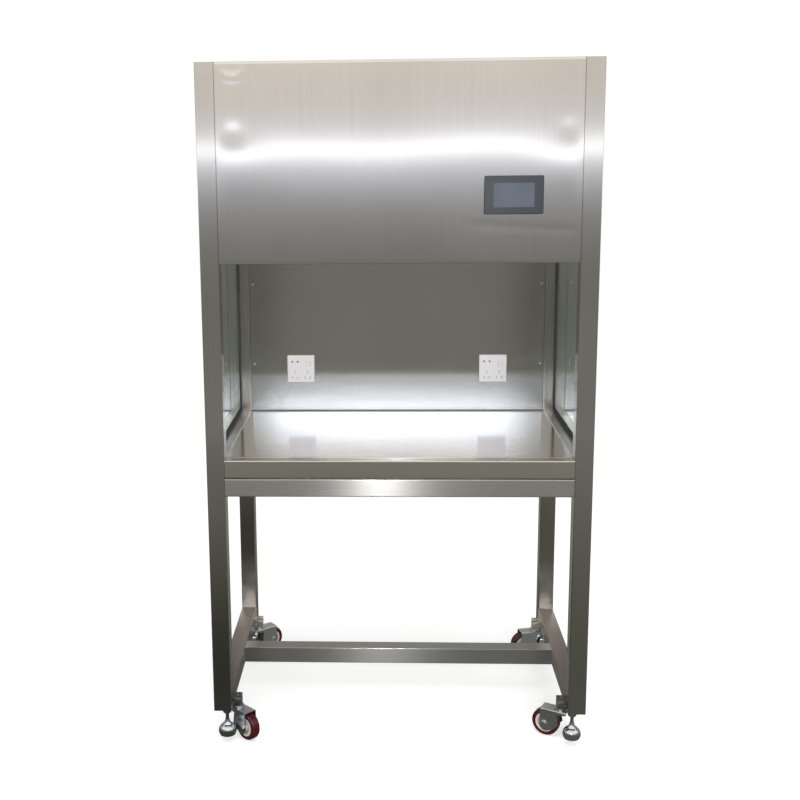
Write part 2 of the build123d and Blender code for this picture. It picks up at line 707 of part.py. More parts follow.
def caster_fork():
    """Pressed fork: flat crown, two cheeks and the axle riveted through them."""
    top = crown_top
    axle_z = caster_radius
    half_fork = fork_width / 2
    cheek = make_face([
        Polyline((fork_back, top), (fork_back, top - 8), (5, top - 12), (0, top - 45),
                 (14, top - 59), (34, axle_z - 21)),
        ThreePointArc((34, axle_z - 21), (48.5, axle_z - 16.5), (fork_front, axle_z - 3)),
        Polyline((fork_front, axle_z - 3), (fork_front, top), (fork_back, top)),
    ])
    side_view = Plane(origin=(0, -half_fork, 0), x_dir=(1, 0, 0), z_dir=(0, -1, 0))
    body = extrude(side_view * cheek, -fork_width)
    corners = body.edges().filter_by(Axis.X).filter_by_position(Axis.Z, top - 0.1, top + 0.1)
    body = fillet(corners, fork_sheet + 1)
    inside = half_fork - fork_sheet
    body -= block(fork_back - 1, fork_front + 1, -inside, inside, -1, top - fork_sheet)
    body -= rod(stem_radius + shaft_fit, (0, 0, top - 10), (0, 0, top + 1))
    axle = rod(axle_radius, (trail, -half_fork, axle_z), (trail, half_fork, axle_z))
    for sign in (-1, 1):
        head = Plane(origin=(trail, sign * half_fork, axle_z), x_dir=(1, 0, 0), z_dir=(0, sign, 0))
        axle += extrude(head * Circle(10), 1.2)
        axle += extrude(head.offset(1.2) * RegularPolygon(8, 6), 4.5)
    return body + axle


def caster_hub():
    """Moulded wheel centre with a raised rim, a recessed web and a long boss."""
    profile = make_face(Polyline(
        (axle_radius + shaft_fit, -boss_half), (11, -boss_half), (11, -6), (21, -6),
        (21, -rim_half), (hub_radius, -rim_half), (hub_radius, rim_half), (21, rim_half),
        (21, 6), (11, 6), (11, boss_half), (axle_radius + shaft_fit, boss_half), close=True))
    return spin_on_axle(profile)


def caster_tread():
    """Tyre bonded on the hub, with rounded shoulders."""
    w = tread_width / 2
    r = caster_radius
    profile = make_face([
        Line((hub_radius, -rim_half), (hub_radius + 3, -w)),
        Line((hub_radius + 3, -w), (r - 5, -w)),
        ThreePointArc((r - 5, -w), (r - 1.4, -w + 2.4), (r, -w + 6)),
        Line((r, -w + 6), (r, w - 6)),
        ThreePointArc((r, w - 6), (r - 1.4, w - 2.4), (r - 5, w)),
        Line((r - 5, w), (hub_radius + 3, w)),
        Line((hub_radius + 3, w), (hub_radius, rim_half)),
        Line((hub_radius, rim_half), (hub_radius, -rim_half)),
    ])
    return spin_on_axle(profile)


def spin_on_axle(profile):
    """Revolve a (radius, across) profile about the wheel's axle."""
    plane = Plane(origin=(0, 0, 0), x_dir=(1, 0, 0), z_dir=(0, 0, 1))
    solid = revolve(plane * profile, Axis.Y)
    return Pos(trail, 0, caster_radius) * solid


def caster_stems():
    """Threaded stems with their bearing cups and king nuts, as one group."""
    stems = []
    for end, side in CORNERS:
        x, y = swivel_point(end, side)
        z0 = crown_top - fork_sheet
        stem = rod(stem_radius, (x, y, z0 - 8), (x, y, crown_top + bearing_height + stem_block_height - 4))
        stem += extrude(Plane(origin=(x, y, z0 - 7.5)) * RegularPolygon(9.5, 6), 7.5)
        stem += rod(bearing_radius, (x, y, crown_top), (x, y, crown_top + bearing_height))
        stems.append(stem)
    return Compound(children=stems)


# ---- levelling feet --------------------------------------------------------
def level_foot(end, side):
    """Bell foot, its cone neck and its threaded stud, turned as one profile."""
    z0 = foot_bottom
    profile = make_face([
        Polyline((0, z0), (22, z0), (24, z0 + 4), (foot_radius, z0 + 9), (foot_radius, z0 + 13)),
        ThreePointArc((foot_radius, z0 + 13), (21.5, z0 + 25), (12.5, z0 + 32)),
        ThreePointArc((12.5, z0 + 32), (7.2, z0 + 42), (stud_radius, z0 + 52)),
        Polyline((stud_radius, z0 + 52), (stud_radius, z0 + 62), (12, z0 + 68), (12, z0 + 76),
                 (stud_radius, z0 + 76), (stud_radius, z0 + stud_length), (0, z0 + stud_length),
                 (0, z0)),
    ])
    solid = revolve(Plane.XZ * profile, Axis.Z)
    return Pos(SIDES[side] * foot_x, from_end(end, foot_y), 0) * solid


# ---- all sub-parts ---------------------------------------------------------
for end, side in CORNERS:
    place(f"post_{end}_{side}", post(end, side))
    at = caster_frame(end, side)
    place(f"caster_fork_{end}_{side}", at * caster_fork())
    place(f"caster_hub_{end}_{side}", at * caster_hub())
    place(f"caster_tread_{end}_{side}", at * caster_tread())
    place(f"level_foot_{end}_{side}", level_foot(end, side))
place("caster_stems", caster_stems())

place("table_rail_front", rail_along_x(-inner, inner, 0, front_rail_depth, rail_bottom, rail_top))
place("table_rail_rear", rail_along_x(-inner, inner, rear_face, depth, rail_bottom, rail_top))
under_top = rail_bottom - rail_gap
place("under_rail_front", rail_along_x(-inner, inner, 0, front_rail_depth, under_top - tube, under_top))
place("base_cross_rail", rail_along_x(-inner, inner, middle_y - tube / 2, middle_y + tube / 2,
                                      leg_bottom, leg_bottom + tube))
for side in SIDES:
    x0, x1 = span(SIDES[side] * inner, SIDES[side] * half)
    place(f"table_rail_{side}", rail_along_y(x0, x1, tube, rear_face, rail_bottom, rail_top))
    place(f"base_rail_{side}", base_rail(side))
    place(f"header_side_panel_{side}", header_side_panel(side))
    place(f"window_{side}", window(side))
    place(f"window_seal_{side}", window_seal(side))
    place(f"socket_plate_{side}", socket_plate(side))
    place(f"socket_rocker_{side}", socket_rocker(side))

place("front_header_panel", front_header_panel())
place("rear_panel", rear_panel())
place("top_panel", top_panel())
place("back_wall", back_wall())
place("worktop", worktop())
place("filter_ledge", filter_ledge())
place("filter_frame", filter_frame())
place("filter_pack", filter_pack())
place("diffuser", diffuser())
place("lamp_batten", lamp_batten())
place("lamp_tube", lamp_tube())
place("fan_deck", fan_deck())
place("fan_scroll", fan_scroll())
place("fan_wheel", fan_wheel())
place("fan_motor", fan_motor())
place("prefilter", prefilter())
place("control_box", control_box())
place("screen_bezel", screen_bezel())
place("screen", screen())
place("power_gland", power_gland())
place("panel_screws", panel_screws())

os.makedirs("parts", exist_ok=True)
for name, shape in parts.items():
    export_step(shape, f"parts/{name}.step")
    print(f"{name:32s} {shape.volume / 1000:10.1f} cm3")
print(len(parts), "sub-parts")
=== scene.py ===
# %% [markdown]
# # A laminar flow hood in stainless steel
#
# The real hood is a welded stand of square stainless tube. Folded stainless sheets close its header,
# two glass windows close the sides of the work chamber, and the whole stands on four small casters.
# The measured model is loaded first, and everything here is dressed around it. Nothing in this file
# moves a measured piece: it gives each one its finish, and adds what a drawing leaves out, such as
# the dents of thin sheet and the cross recesses of screws.

# %% Load the measured model
import json
import math

import bmesh
import bpy
from mathutils import Matrix, Vector


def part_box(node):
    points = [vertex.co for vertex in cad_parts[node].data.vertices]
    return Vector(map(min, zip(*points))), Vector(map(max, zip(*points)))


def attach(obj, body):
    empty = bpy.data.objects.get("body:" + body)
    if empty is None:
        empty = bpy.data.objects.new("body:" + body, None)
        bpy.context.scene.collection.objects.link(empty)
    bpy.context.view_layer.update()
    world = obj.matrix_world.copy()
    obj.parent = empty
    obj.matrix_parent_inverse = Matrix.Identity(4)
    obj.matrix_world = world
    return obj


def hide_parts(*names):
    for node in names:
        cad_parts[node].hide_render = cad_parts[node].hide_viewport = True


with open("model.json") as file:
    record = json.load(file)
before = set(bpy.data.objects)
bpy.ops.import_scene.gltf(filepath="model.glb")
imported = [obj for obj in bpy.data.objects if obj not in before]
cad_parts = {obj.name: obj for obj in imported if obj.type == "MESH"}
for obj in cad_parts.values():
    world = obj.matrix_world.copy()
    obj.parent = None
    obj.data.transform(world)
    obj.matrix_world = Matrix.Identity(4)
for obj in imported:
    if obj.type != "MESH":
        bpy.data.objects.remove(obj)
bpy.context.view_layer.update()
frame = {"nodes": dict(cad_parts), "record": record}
nodes = frame["nodes"]
MM = 0.001

# %% [markdown]
# ## Camera
#
# A vanishing-point fit of the hood's upright and level edges gives the eye's place: a little left of
# the middle, at about the height of a standing person's eyes, and looking slightly down. The three
# turns are applied by hand as right, up and back vectors, because that keeps the numbers readable.
# A small lens shift brings the hood to the middle of the frame.

# %% Camera
EYE = Vector((-0.0303, -3.3997, 1.6251))
YAW, PITCH, ROLL = 0.0449, -0.18467, 0.01032
FOCAL_LENGTH = 51.87
SHIFT_RIGHT, SHIFT_UP = 0.0796, -0.0238     # shares of the frame's width


def aim(yaw, pitch, roll):
    """A camera's 3x3 turn: it looks along +Y, turned left by yaw, up by pitch and clockwise by roll."""
    right = Vector((math.cos(yaw), math.sin(yaw), 0))
    ahead = Vector((-math.cos(pitch) * math.sin(yaw), math.cos(pitch) * math.cos(yaw), math.sin(pitch)))
    up = right.cross(ahead)
    tilted_right = math.cos(roll) * right - math.sin(roll) * up
    tilted_up = math.sin(roll) * right + math.cos(roll) * up
    return Matrix((tilted_right, tilted_up, -ahead)).transposed()


lens = bpy.data.cameras.new("camera")
lens.lens = FOCAL_LENGTH
lens.shift_x, lens.shift_y = SHIFT_RIGHT, SHIFT_UP
camera = bpy.data.objects.new("camera", lens)
camera.matrix_world = Matrix.Translation(EYE) @ aim(YAW, PITCH, ROLL).to_4x4()
bpy.context.scene.collection.objects.link(camera)
bpy.context.scene.camera = camera
bpy.context.scene.view_settings.view_transform = "Standard"
print(f"camera {EYE.length:.2f} m from the hood's foot")

# %% [markdown]
# ## Four small helpers
#
# Colours are written as the sRGB hex codes that a paint chart or a colour picker shows, but Blender
# computes in linear light, so one function converts them. Another adds a node together with its
# settings and its links, so that a whole material reads like a list. The third starts a material and
# hands over its shader, and the last gives a colour ramp its stops.

# %% Helpers for colours and nodes


def linear(code):
    """An sRGB hex colour as linear red, green, blue and alpha."""
    channels = [int(code[i:i + 2], 16) / 255 for i in (1, 3, 5)]
    return [c / 12.92 if c <= 0.04045 else ((c + 0.055) / 1.055) ** 2.4 for c in channels] + [1.0]


def add_node(tree, kind, inputs=None, **settings):
    """Adds a node. `inputs` gives its sockets either a value or another node's output to link."""
    node = tree.nodes.new(kind)
    for name, value in settings.items():
        setattr(node, name, value)
    for name, value in (inputs or {}).items():
        if isinstance(value, bpy.types.NodeSocket):
            tree.links.new(value, node.inputs[name])
        else:
            node.inputs[name].default_value = value
    return node


def start_material(name, **shader_values):
    """A new material's node tree and its Principled shader, with the given socket values."""
    material = bpy.data.materials.new(name)
    material.use_nodes = True
    tree = material.node_tree
    shader = tree.nodes["Principled BSDF"]
    for socket, value in shader_values.items():
        shader.inputs[socket.replace("_", " ")].default_value = value
    return material, tree, shader


def set_ramp(node, stops):
    """Gives a colour ramp its stops, as (place, hex colour) pairs."""
    ramp = node.color_ramp
    while len(ramp.elements) < len(stops):
        ramp.elements.new(1.0)
    for element, (place, code) in zip(ramp.elements, stops):
        element.position = place
        element.color = linear(code)

# %% [markdown]
# ## Studio
#
# Bare steel has almost no colour of its own: it shows the room. So the room is built first.
# The backdrop and floor are white to the camera and to anything seen in metal or through glass.
# Round the hood stands a tent of soft grey wall that only steel and glass see, dark at the foot and
# bright above eye height, and a dark cloth lies on the floor inside it. That gives the posts their
# fall from light to dark, as in a workshop with a bright ceiling. Studios for polished goods work in
# the same way, with white tents and black flags.

# %% World
LIGHT_LEVEL = 0.72      # the backdrop's strength as a light, next to 1 where it is seen


def seen_directly(tree):
    """1 for rays from the camera, from metal or through glass, and 0 for rays that carry light."""
    path = add_node(tree, "ShaderNodeLightPath")
    mirror = add_node(tree, "ShaderNodeMath", {0: path.outputs["Is Camera Ray"],
                                               1: path.outputs["Is Glossy Ray"]}, operation="MAXIMUM")
    return add_node(tree, "ShaderNodeMath", {0: mirror.outputs[0], 1: path.outputs["Is Transmission Ray"]},
                    operation="MAXIMUM").outputs[0]


world = bpy.data.worlds.new("studio")
world.use_nodes = True
bpy.context.scene.world = world
tree = world.node_tree
background = tree.nodes["Background"]
background.inputs["Color"].default_value = (1, 1, 1, 1)
strength = add_node(tree, "ShaderNodeMapRange", {"Value": seen_directly(tree), "To Min": LIGHT_LEVEL,
                                                 "To Max": 1.0})
tree.links.new(strength.outputs["Result"], background.inputs["Strength"])
print(f"backdrop: white to the eye, {LIGHT_LEVEL} as a light")

# %% Floor
FLOOR_RADIUS = 9.0
FLOOR_CORNERS = 96
FLOOR_GLOW = 0.42       # added where the floor is seen, so that grey paper in soft light comes out white

floor_mesh = bpy.data.meshes.new("floor")
turns = [i * math.tau / FLOOR_CORNERS for i in range(FLOOR_CORNERS)]
rim = [(FLOOR_RADIUS * math.cos(turn), FLOOR_RADIUS * math.sin(turn), 0) for turn in turns]
floor_mesh.from_pydata(rim, [], [range(FLOOR_CORNERS)])
floor = bpy.data.objects.new("floor", floor_mesh)
bpy.context.scene.collection.objects.link(floor)
paper, tree, shader = start_material("white_studio_paper", Roughness=1.0, Specular_IOR_Level=0.0)
shader.inputs["Base Color"].default_value = linear("#EDEDED")
glow = add_node(tree, "ShaderNodeEmission", {"Strength": FLOOR_GLOW})
lift = add_node(tree, "ShaderNodeMixShader", {0: seen_directly(tree)})
both = add_node(tree, "ShaderNodeAddShader", {0: shader.outputs[0], 1: glow.outputs[0]})
tree.links.new(shader.outputs[0], lift.inputs[1])
tree.links.new(both.outputs[0], lift.inputs[2])
tree.links.new(lift.outputs[0], tree.nodes["Material Output"].inputs["Surface"])
floor_mesh.materials.append(paper)
print(f"floor: {2 * FLOOR_RADIUS:.0f} m across")

# %% Helpers for the tent and the cloth
RING_SEGMENTS = 96


def ring_of(name, points):
    """A surface of revolution about Z from (radius, height) points."""
    mesh = bpy.data.meshes.new(name)
    verts, faces = [], []
    for i in range(RING_SEGMENTS):
        turn = i * math.tau / RING_SEGMENTS
        verts += [(r * math.cos(turn), r * math.sin(turn), z) for r, z in points]
    count = len(points)
    for i in range(RING_SEGMENTS):
        for j in range(count - 1):
            a, b = i * count + j, (i + 1) % RING_SEGMENTS * count + j
            faces.append((a, b, b + 1, a + 1))
    mesh.from_pydata(verts, [], faces)
    obj = bpy.data.objects.new(name, mesh)
    bpy.context.scene.collection.objects.link(obj)
    return obj


def reflections_only(obj):
    """Marks a studio piece that casts no light on matt things and that the camera doesn't see."""
    obj.visible_camera = obj.visible_diffuse = obj.visible_shadow = False


def start_glow(name):
    """A material with an emission in place of its shader, and its place in separate X, Y and Z."""
    material = bpy.data.materials.new(name)
    material.use_nodes = True
    tree = material.node_tree
    tree.nodes.remove(tree.nodes["Principled BSDF"])
    place = add_node(tree, "ShaderNodeTexCoord").outputs["Object"]
    light = add_node(tree, "ShaderNodeEmission")
    tree.links.new(light.outputs[0], tree.nodes["Material Output"].inputs["Surface"])
    return material, tree, light, place, add_node(tree, "ShaderNodeSeparateXYZ", {0: place}).outputs


def bell_over(tree, value, middle, spread):
    """A smooth bump of height 1 in a value: exp(-((value - middle) / spread) ^ 2)."""
    offset = add_node(tree, "ShaderNodeMath", {0: value, 1: middle}, operation="SUBTRACT")
    scaled = add_node(tree, "ShaderNodeMath", {0: offset.outputs[0], 1: 1 / spread}, operation="MULTIPLY")
    square = add_node(tree, "ShaderNodeMath", {0: scaled.outputs[0], 1: scaled.outputs[0]},
                      operation="MULTIPLY")
    fall = add_node(tree, "ShaderNodeMath", {0: square.outputs[0], 1: -1.0}, operation="MULTIPLY")
    return add_node(tree, "ShaderNodeMath", {0: fall.outputs[0]}, operation="EXPONENT").outputs[0]


print(f"rings of {RING_SEGMENTS} segments")

# %% Tent
TENT_RADIUS, TENT_TOP = 4.2, 4.2
TENT_STRENGTH = 1.4
BAND_HEIGHT, BAND_SPREAD, BAND_STRENGTH = 1.716, 0.040, 2.9
TURN_DEPTH = 1.0        # the front's tones give way to the rear's between this far before and behind
# stops are shares of the tent's height, from the floor up
FRONT_TONES = [
    (0.00, "#7A7B74"), (0.19, "#787772"), (0.25, "#7B7975"), (0.285, "#848380"), (0.315, "#8F8F8E"),
    (0.34, "#A0A1A3"), (0.36, "#B8B9BE"), (0.385, "#D6D8DE"), (0.43, "#E2E1E4"), (0.47, "#DAD5CF"),
    (0.51, "#DCD5CB"), (0.545, "#E4DBD1"), (0.58, "#FFF8F0"), (1.0, "#FFF8F0")]
REAR_TONES = [
    (0.00, "#8A8F94"), (0.08, "#7B807F"), (0.15, "#6C6F69"), (0.24, "#75756E"), (0.31, "#ACA69F"),
    (0.375, "#EADFD8"), (0.395, "#BDB3AB"), (0.42, "#77726A"), (0.46, "#57554F"), (0.72, "#565550"),
    (1.0, "#9A9A95")]

tent_cloth, tree, light, _, (_, depth, rise) = start_glow("tent_cloth")
share = add_node(tree, "ShaderNodeMapRange", {"Value": rise, "From Max": TENT_TOP})
front = add_node(tree, "ShaderNodeValToRGB", {0: share.outputs["Result"]})
set_ramp(front, FRONT_TONES)
rear = add_node(tree, "ShaderNodeValToRGB", {0: share.outputs["Result"]})
set_ramp(rear, REAR_TONES)
behind = add_node(tree, "ShaderNodeMapRange", {"Value": depth, "From Min": -TURN_DEPTH,
                                               "From Max": TURN_DEPTH})
cloth_tone = add_node(tree, "ShaderNodeMix", data_type="RGBA")
sources = (behind.outputs["Result"], front.outputs["Color"], rear.outputs["Color"])
for socket, source in zip((0, 6, 7), sources):      # the factor, then the two colours of the mix
    tree.links.new(source, cloth_tone.inputs[socket])
tree.links.new(cloth_tone.outputs[2], light.inputs["Color"])
ahead = add_node(tree, "ShaderNodeMapRange", {"Value": depth, "From Min": -TURN_DEPTH,
                                              "From Max": TURN_DEPTH, "To Min": BAND_STRENGTH,
                                              "To Max": 0.0})
bell = bell_over(tree, rise, BAND_HEIGHT, BAND_SPREAD)
band = add_node(tree, "ShaderNodeMath", {0: bell, 1: ahead.outputs["Result"], 2: TENT_STRENGTH},
                operation="MULTIPLY_ADD")
tree.links.new(band.outputs[0], light.inputs["Strength"])
tent = ring_of("tent", [(TENT_RADIUS, 0.0), (TENT_RADIUS, TENT_TOP)])
tent.data.materials.append(tent_cloth)
reflections_only(tent)
print(f"tent: {2 * TENT_RADIUS} m across, its white band at {BAND_HEIGHT} m")

# %% Dark cloth
CLOTH_MIDDLE = (-0.55, -0.80, 0.0)
CLOTH_LIFT = 4 * MM     # how far the cloth lies above the floor
CLOTH_HOLE = 0.02       # radius left open in the middle, as a ring has no point there
HOOD_FRONT, HOOD_MIDDLE, GLOW_UNDER_HOOD = -0.35, 0.05, 1.4

dark_cloth, tree, light, place, (_, depth, _) = start_glow("dark_cloth")
reach = add_node(tree, "ShaderNodeVectorMath", {0: place, 1: CLOTH_MIDDLE}, operation="DISTANCE")
share = add_node(tree, "ShaderNodeMapRange", {"Value": reach.outputs["Value"], "From Max": TENT_RADIUS})
ramp = add_node(tree, "ShaderNodeValToRGB", {0: share.outputs["Result"]})
set_ramp(ramp, [(0.00, "#3B3D38"), (0.10, "#474841"), (0.20, "#5A5A52"), (0.33, "#6C6B63"),
                (0.50, "#7B7A72"), (0.90, "#8B8A83")])
tree.links.new(ramp.outputs["Color"], light.inputs["Color"])
under_hood = add_node(tree, "ShaderNodeMapRange", {"Value": depth, "From Min": HOOD_FRONT,
                                                   "From Max": HOOD_MIDDLE, "To Min": 1.0,
                                                   "To Max": GLOW_UNDER_HOOD})
tree.links.new(under_hood.outputs["Result"], light.inputs["Strength"])
cloth = ring_of("dark_cloth", [(CLOTH_HOLE, CLOTH_LIFT), (TENT_RADIUS, CLOTH_LIFT)])
cloth.data.materials.append(dark_cloth)
reflections_only(cloth)
cloth.visible_transmission = False
print(f"dark cloth: {CLOTH_LIFT / MM:.0f} mm above the floor")

# %% [markdown]
# ## Lamps
#
# A large softbox overhead lights the plastics and lays the shadow under the stand, and a second one
# behind the camera fills the front. Neither shows in the steel, which mirrors the tent instead. The
# third is a small lamp right above the camera. Brushing acts on it like thousands of tiny half-round
# grooves: it draws the lamp's reflection out into a line across the grain. On the level grain of the
# rails that line is the upright white patch. The large sheets don't get it, as the tent already
# holds their level white band. The fourth lamp is a long weak glow for the back wall and the worktop
# alone, whose light reaches the eye only after two bounces.

# %% Lamps
LARGE_SHEETS = ("post_", "header_side", "front_header", "rear_panel", "top_panel", "back_wall", "worktop",
                "window_", "table_rail")


def add_softbox(name, size, place, target, watts):
    """A rectangular area lamp, aimed at a point."""
    data = bpy.data.lights.new(name, "AREA")
    data.shape = "RECTANGLE"
    data.size, data.size_y = size
    data.energy = watts
    lamp = bpy.data.objects.new(name, data)
    lamp.location = place
    lamp.rotation_euler = (Vector(target) - Vector(place)).to_track_quat("-Z", "Y").to_euler()
    lamp.visible_camera = False
    bpy.context.scene.collection.objects.link(lamp)
    return lamp


def light_only(lamp, names):
    """Lets a lamp reach the named pieces and nothing else."""
    reached = bpy.data.collections.new(f"reached_by_{lamp.name}")
    for name in names:
        reached.objects.link(nodes[name])
    lamp.light_linking.receiver_collection = reached


overhead = add_softbox("softbox_overhead", size=(2.4, 1.6), place=(0.3, -1.2, 3.4), target=(0, 0, 0.6),
                       watts=45)
fill = add_softbox("softbox_behind_camera", size=(2.4, 1.4), place=(0.5, -4.8, 2.0), target=(0, 0, 1.0),
                   watts=130)
for lamp in (overhead, fill):
    lamp.visible_glossy = False
small_lamp = add_softbox("small_lamp", size=(0.14, 0.09), place=(-0.07, -3.44, 1.70),
                         target=(0, 0, 0.8), watts=21)
light_only(small_lamp, [name for name in nodes if not name.startswith(LARGE_SHEETS)])
corner_glow = add_softbox("glow_in_chamber_corner", size=(2.4, 0.40), place=(0.1, -4.0, 1.87),
                          target=(0, 0, 1.87), watts=13)
corner_glow.data.color = linear("#E2EEFF")[:3]
light_only(corner_glow, ["back_wall", "worktop"])
print("lamps: 4, two of them for chosen pieces alone")

# %% [markdown]
# ## Stainless steel, brushed and polished
#
# Sheet and tube of this kind come ground with a fine belt. The scratches all run one way, so the
# steel is sharp along one direction and blurred across it. That is anisotropy. The Tangent node says
# which way the blur runs: radial about Z blurs level, for upright grain, and radial about X or Y
# blurs across the grain of the rails. Over it lie three patterns. The belt's scratches are about
# 0.05 mm wide in truth and are drawn 1.8 mm wide, or they would vanish between two pixels. Slow clouds
# of tone come from the belt's uneven pressure. Slow waves in the sheet itself bend what it mirrors.

# %% Brushed and polished steel
SCRATCH_WIDTH = 1.8 * MM
SCRATCH_LENGTH = 320 * MM
CLOUD_SIZE = 260 * MM
ROUGHNESS_SPREAD = 0.015        # share by which the scratches change the roughness


def belt_pattern(tree, place, grain):
    """The belt's scratches, and the same with the clouds of its uneven pressure added."""
    stretch = [1 / SCRATCH_LENGTH if axis == grain else 1 / SCRATCH_WIDTH for axis in "XYZ"]
    scratched = add_node(tree, "ShaderNodeVectorMath", {0: place, 1: stretch}, operation="MULTIPLY")
    scratches = add_node(tree, "ShaderNodeTexNoise", {"Vector": scratched.outputs[0], "Scale": 1.0,
                                                      "Detail": 2.0, "Roughness": 0.5}).outputs[0]
    clouds = add_node(tree, "ShaderNodeTexNoise", {"Vector": place, "Scale": 1 / CLOUD_SIZE, "Detail": 2.0})
    weighed = add_node(tree, "ShaderNodeMath", {0: clouds.outputs[0], 1: 0.8}, operation="MULTIPLY")
    total = add_node(tree, "ShaderNodeMath", {0: scratches, 1: 0.5, 2: weighed.outputs[0]},
                     operation="MULTIPLY_ADD")
    return scratches, total.outputs[0]


def wave_sheet(tree, shader, place, wave_mm, wave_size, lean):
    """Slow waves in a sheet, which bend what it mirrors, on a face that leans by a small vector."""
    waves = add_node(tree, "ShaderNodeTexNoise", {"Vector": place, "Scale": 1 / wave_size, "Detail": 1.0})
    flat = add_node(tree, "ShaderNodeNewGeometry").outputs["Normal"]
    leaning = add_node(tree, "ShaderNodeVectorMath", {0: flat, 1: lean}, operation="ADD")
    unit = add_node(tree, "ShaderNodeVectorMath", {0: leaning.outputs[0]}, operation="NORMALIZE")
    bump = add_node(tree, "ShaderNodeBump", {"Height": waves.outputs[0], "Distance": wave_mm * MM,
                                             "Strength": 1.0, "Normal": unit.outputs[0]})
    tree.links.new(bump.outputs[0], shader.inputs["Normal"])


def steel(name, colour, grain, roughness, anisotropy, tone=0.10, wave_mm=0.0, wave_size=300 * MM,
          lean=(0.0, 0.0, 0.0)):
    """Stainless steel whose belt scratches run along the `grain` axis, as flat or wavy sheet."""
    material, tree, shader = start_material(name, Metallic=1.0, Anisotropic=anisotropy)
    place = add_node(tree, "ShaderNodeTexCoord").outputs["Object"]
    scratches, total = belt_pattern(tree, place, grain)
    shade = add_node(tree, "ShaderNodeMapRange", {"Value": total, "From Min": 0.4, "From Max": 0.9,
                                                  "To Min": 1 - tone, "To Max": 1 + tone})
    tinted = add_node(tree, "ShaderNodeVectorMath", {0: linear(colour)[:3], "Scale": shade.outputs["Result"]},
                      operation="SCALE")
    tree.links.new(tinted.outputs[0], shader.inputs["Base Color"])
    dull = add_node(tree, "ShaderNodeMapRange", {"Value": scratches, "From Min": 0.25, "From Max": 0.75,
                                                 "To Min": roughness * (1 - ROUGHNESS_SPREAD),
                                                 "To Max": roughness * (1 + ROUGHNESS_SPREAD)})
    tree.links.new(dull.outputs["Result"], shader.inputs["Roughness"])
    if anisotropy:
        across = add_node(tree, "ShaderNodeTangent", direction_type="RADIAL", axis=grain)
        tree.links.new(across.outputs[0], shader.inputs["Tangent"])
    if wave_mm:
        wave_sheet(tree, shader, place, wave_mm, wave_size, lean)
    return material


header_steel = steel("stainless_header_upright_brush", "#C8C6C4", "Z", 0.17, 1.0, tone=0.055)
post_steel = steel("stainless_tube_upright_brush", "#C2C0BD", "Z", 0.18, 1.0, tone=0.055)
apron_steel = steel("stainless_rail_cross_brush", "#E0DCD3", "Z", 0.22, 1.0, tone=0.04)
rail_steel_x = steel("stainless_tube_level_brush", "#C0BFBC", "X", 0.275, 1.0, tone=0.035)
base_steel_x = steel("stainless_foot_tube_level_brush", "#B0AFAB", "X", 0.29, 1.0, tone=0.05)
rail_steel_y = steel("stainless_tube_depth_brush", "#C4C0BC", "Y", 0.25, 1.0, tone=0.09)
wall_steel = steel("stainless_liner_half_mirror", "#C2C0BC", "Z", 0.16, 1.0, tone=0.04,
                   wave_mm=0.5, wave_size=420 * MM)
worktop_steel = steel("stainless_worktop_polished", "#D8D8D9", "X", 0.13, 0.0, tone=0.02,
                      wave_mm=0.7, wave_size=420 * MM, lean=(0.0, -0.011, 0.0))
side_steel = steel("stainless_side_upright_brush", "#C4C2BF", "Z", 0.22, 1.0, tone=0.05, wave_mm=0.5)
lid_steel = steel("stainless_lid_level_brush", "#C4C2BF", "X", 0.30, 1.0, tone=0.05, wave_mm=0.5)
turned_steel = steel("stainless_turned_screw", "#CBCAC8", "Z", 0.25, 0.0, tone=0.05)
print(f"scratches drawn {SCRATCH_WIDTH / MM:.1f} mm wide and {SCRATCH_LENGTH / MM:.0f} mm long")

# %% Steel with painted light and shade along its length


def shade_along(material, axis, start, end, low, high):
    """Multiplies a finish's colour along an axis, from `low` at `start` to `high` at `end`."""
    tree = material.node_tree
    socket = tree.nodes["Principled BSDF"].inputs["Base Color"]
    plain = socket.links[0].from_socket
    place = add_node(tree, "ShaderNodeTexCoord").outputs["Object"]
    along = add_node(tree, "ShaderNodeSeparateXYZ", {0: place}).outputs[axis]
    gain = add_node(tree, "ShaderNodeMapRange", {"Value": along, "From Min": start, "From Max": end,
                                                 "To Min": low, "To Max": high})
    gained = add_node(tree, "ShaderNodeVectorMath", {0: plain, "Scale": gain.outputs["Result"]},
                      operation="SCALE")
    tree.links.new(gained.outputs[0], socket)


# painted light and shade: the depth-wise rails are darker along their front part and brighter at their rear
# ends
shade_along(rail_steel_y, "Y", start=0.10, end=0.27, low=0.62, high=1.35)
# painted shade: the rear posts are darker towards their feet
foot_shaded_post_steel = steel("stainless_tube_painted_shade_at_foot", "#C2BEB8", "Z", 0.20, 1.0, tone=0.16)
shade_along(foot_shaded_post_steel, "Z", start=0.14, end=0.30, low=0.36, high=1.0)
print("2 steels shaded along their length")

# %% [markdown]
# ## Glass and its rubber
#
# The windows are 5 mm toughened float glass. Seen almost edge on, as here, iron in the glass turns it
# grey-green and the surface mirrors the chamber. The seal is extruded EPDM, matt and nearly black.
# The screen's bezel is moulded ABS with a satin face, and its display shines faintly through a touch
# film with a thin hard coat. The socket plates are pressed from urea, hard and glossy like china.

# %% Glass, rubber and touch panel
PATCH = 71.4 * MM           # size of the slow changes of tone in moulded and painted faces
SCREEN_PATCH = 91 * MM      # and of the backlight's unevenness behind the display

glass, _, shader = start_material("toughened_float_glass", Roughness=0.02, IOR=1.52, Transmission_Weight=1.0)
shader.inputs["Base Color"].default_value = linear("#C3CCC4")


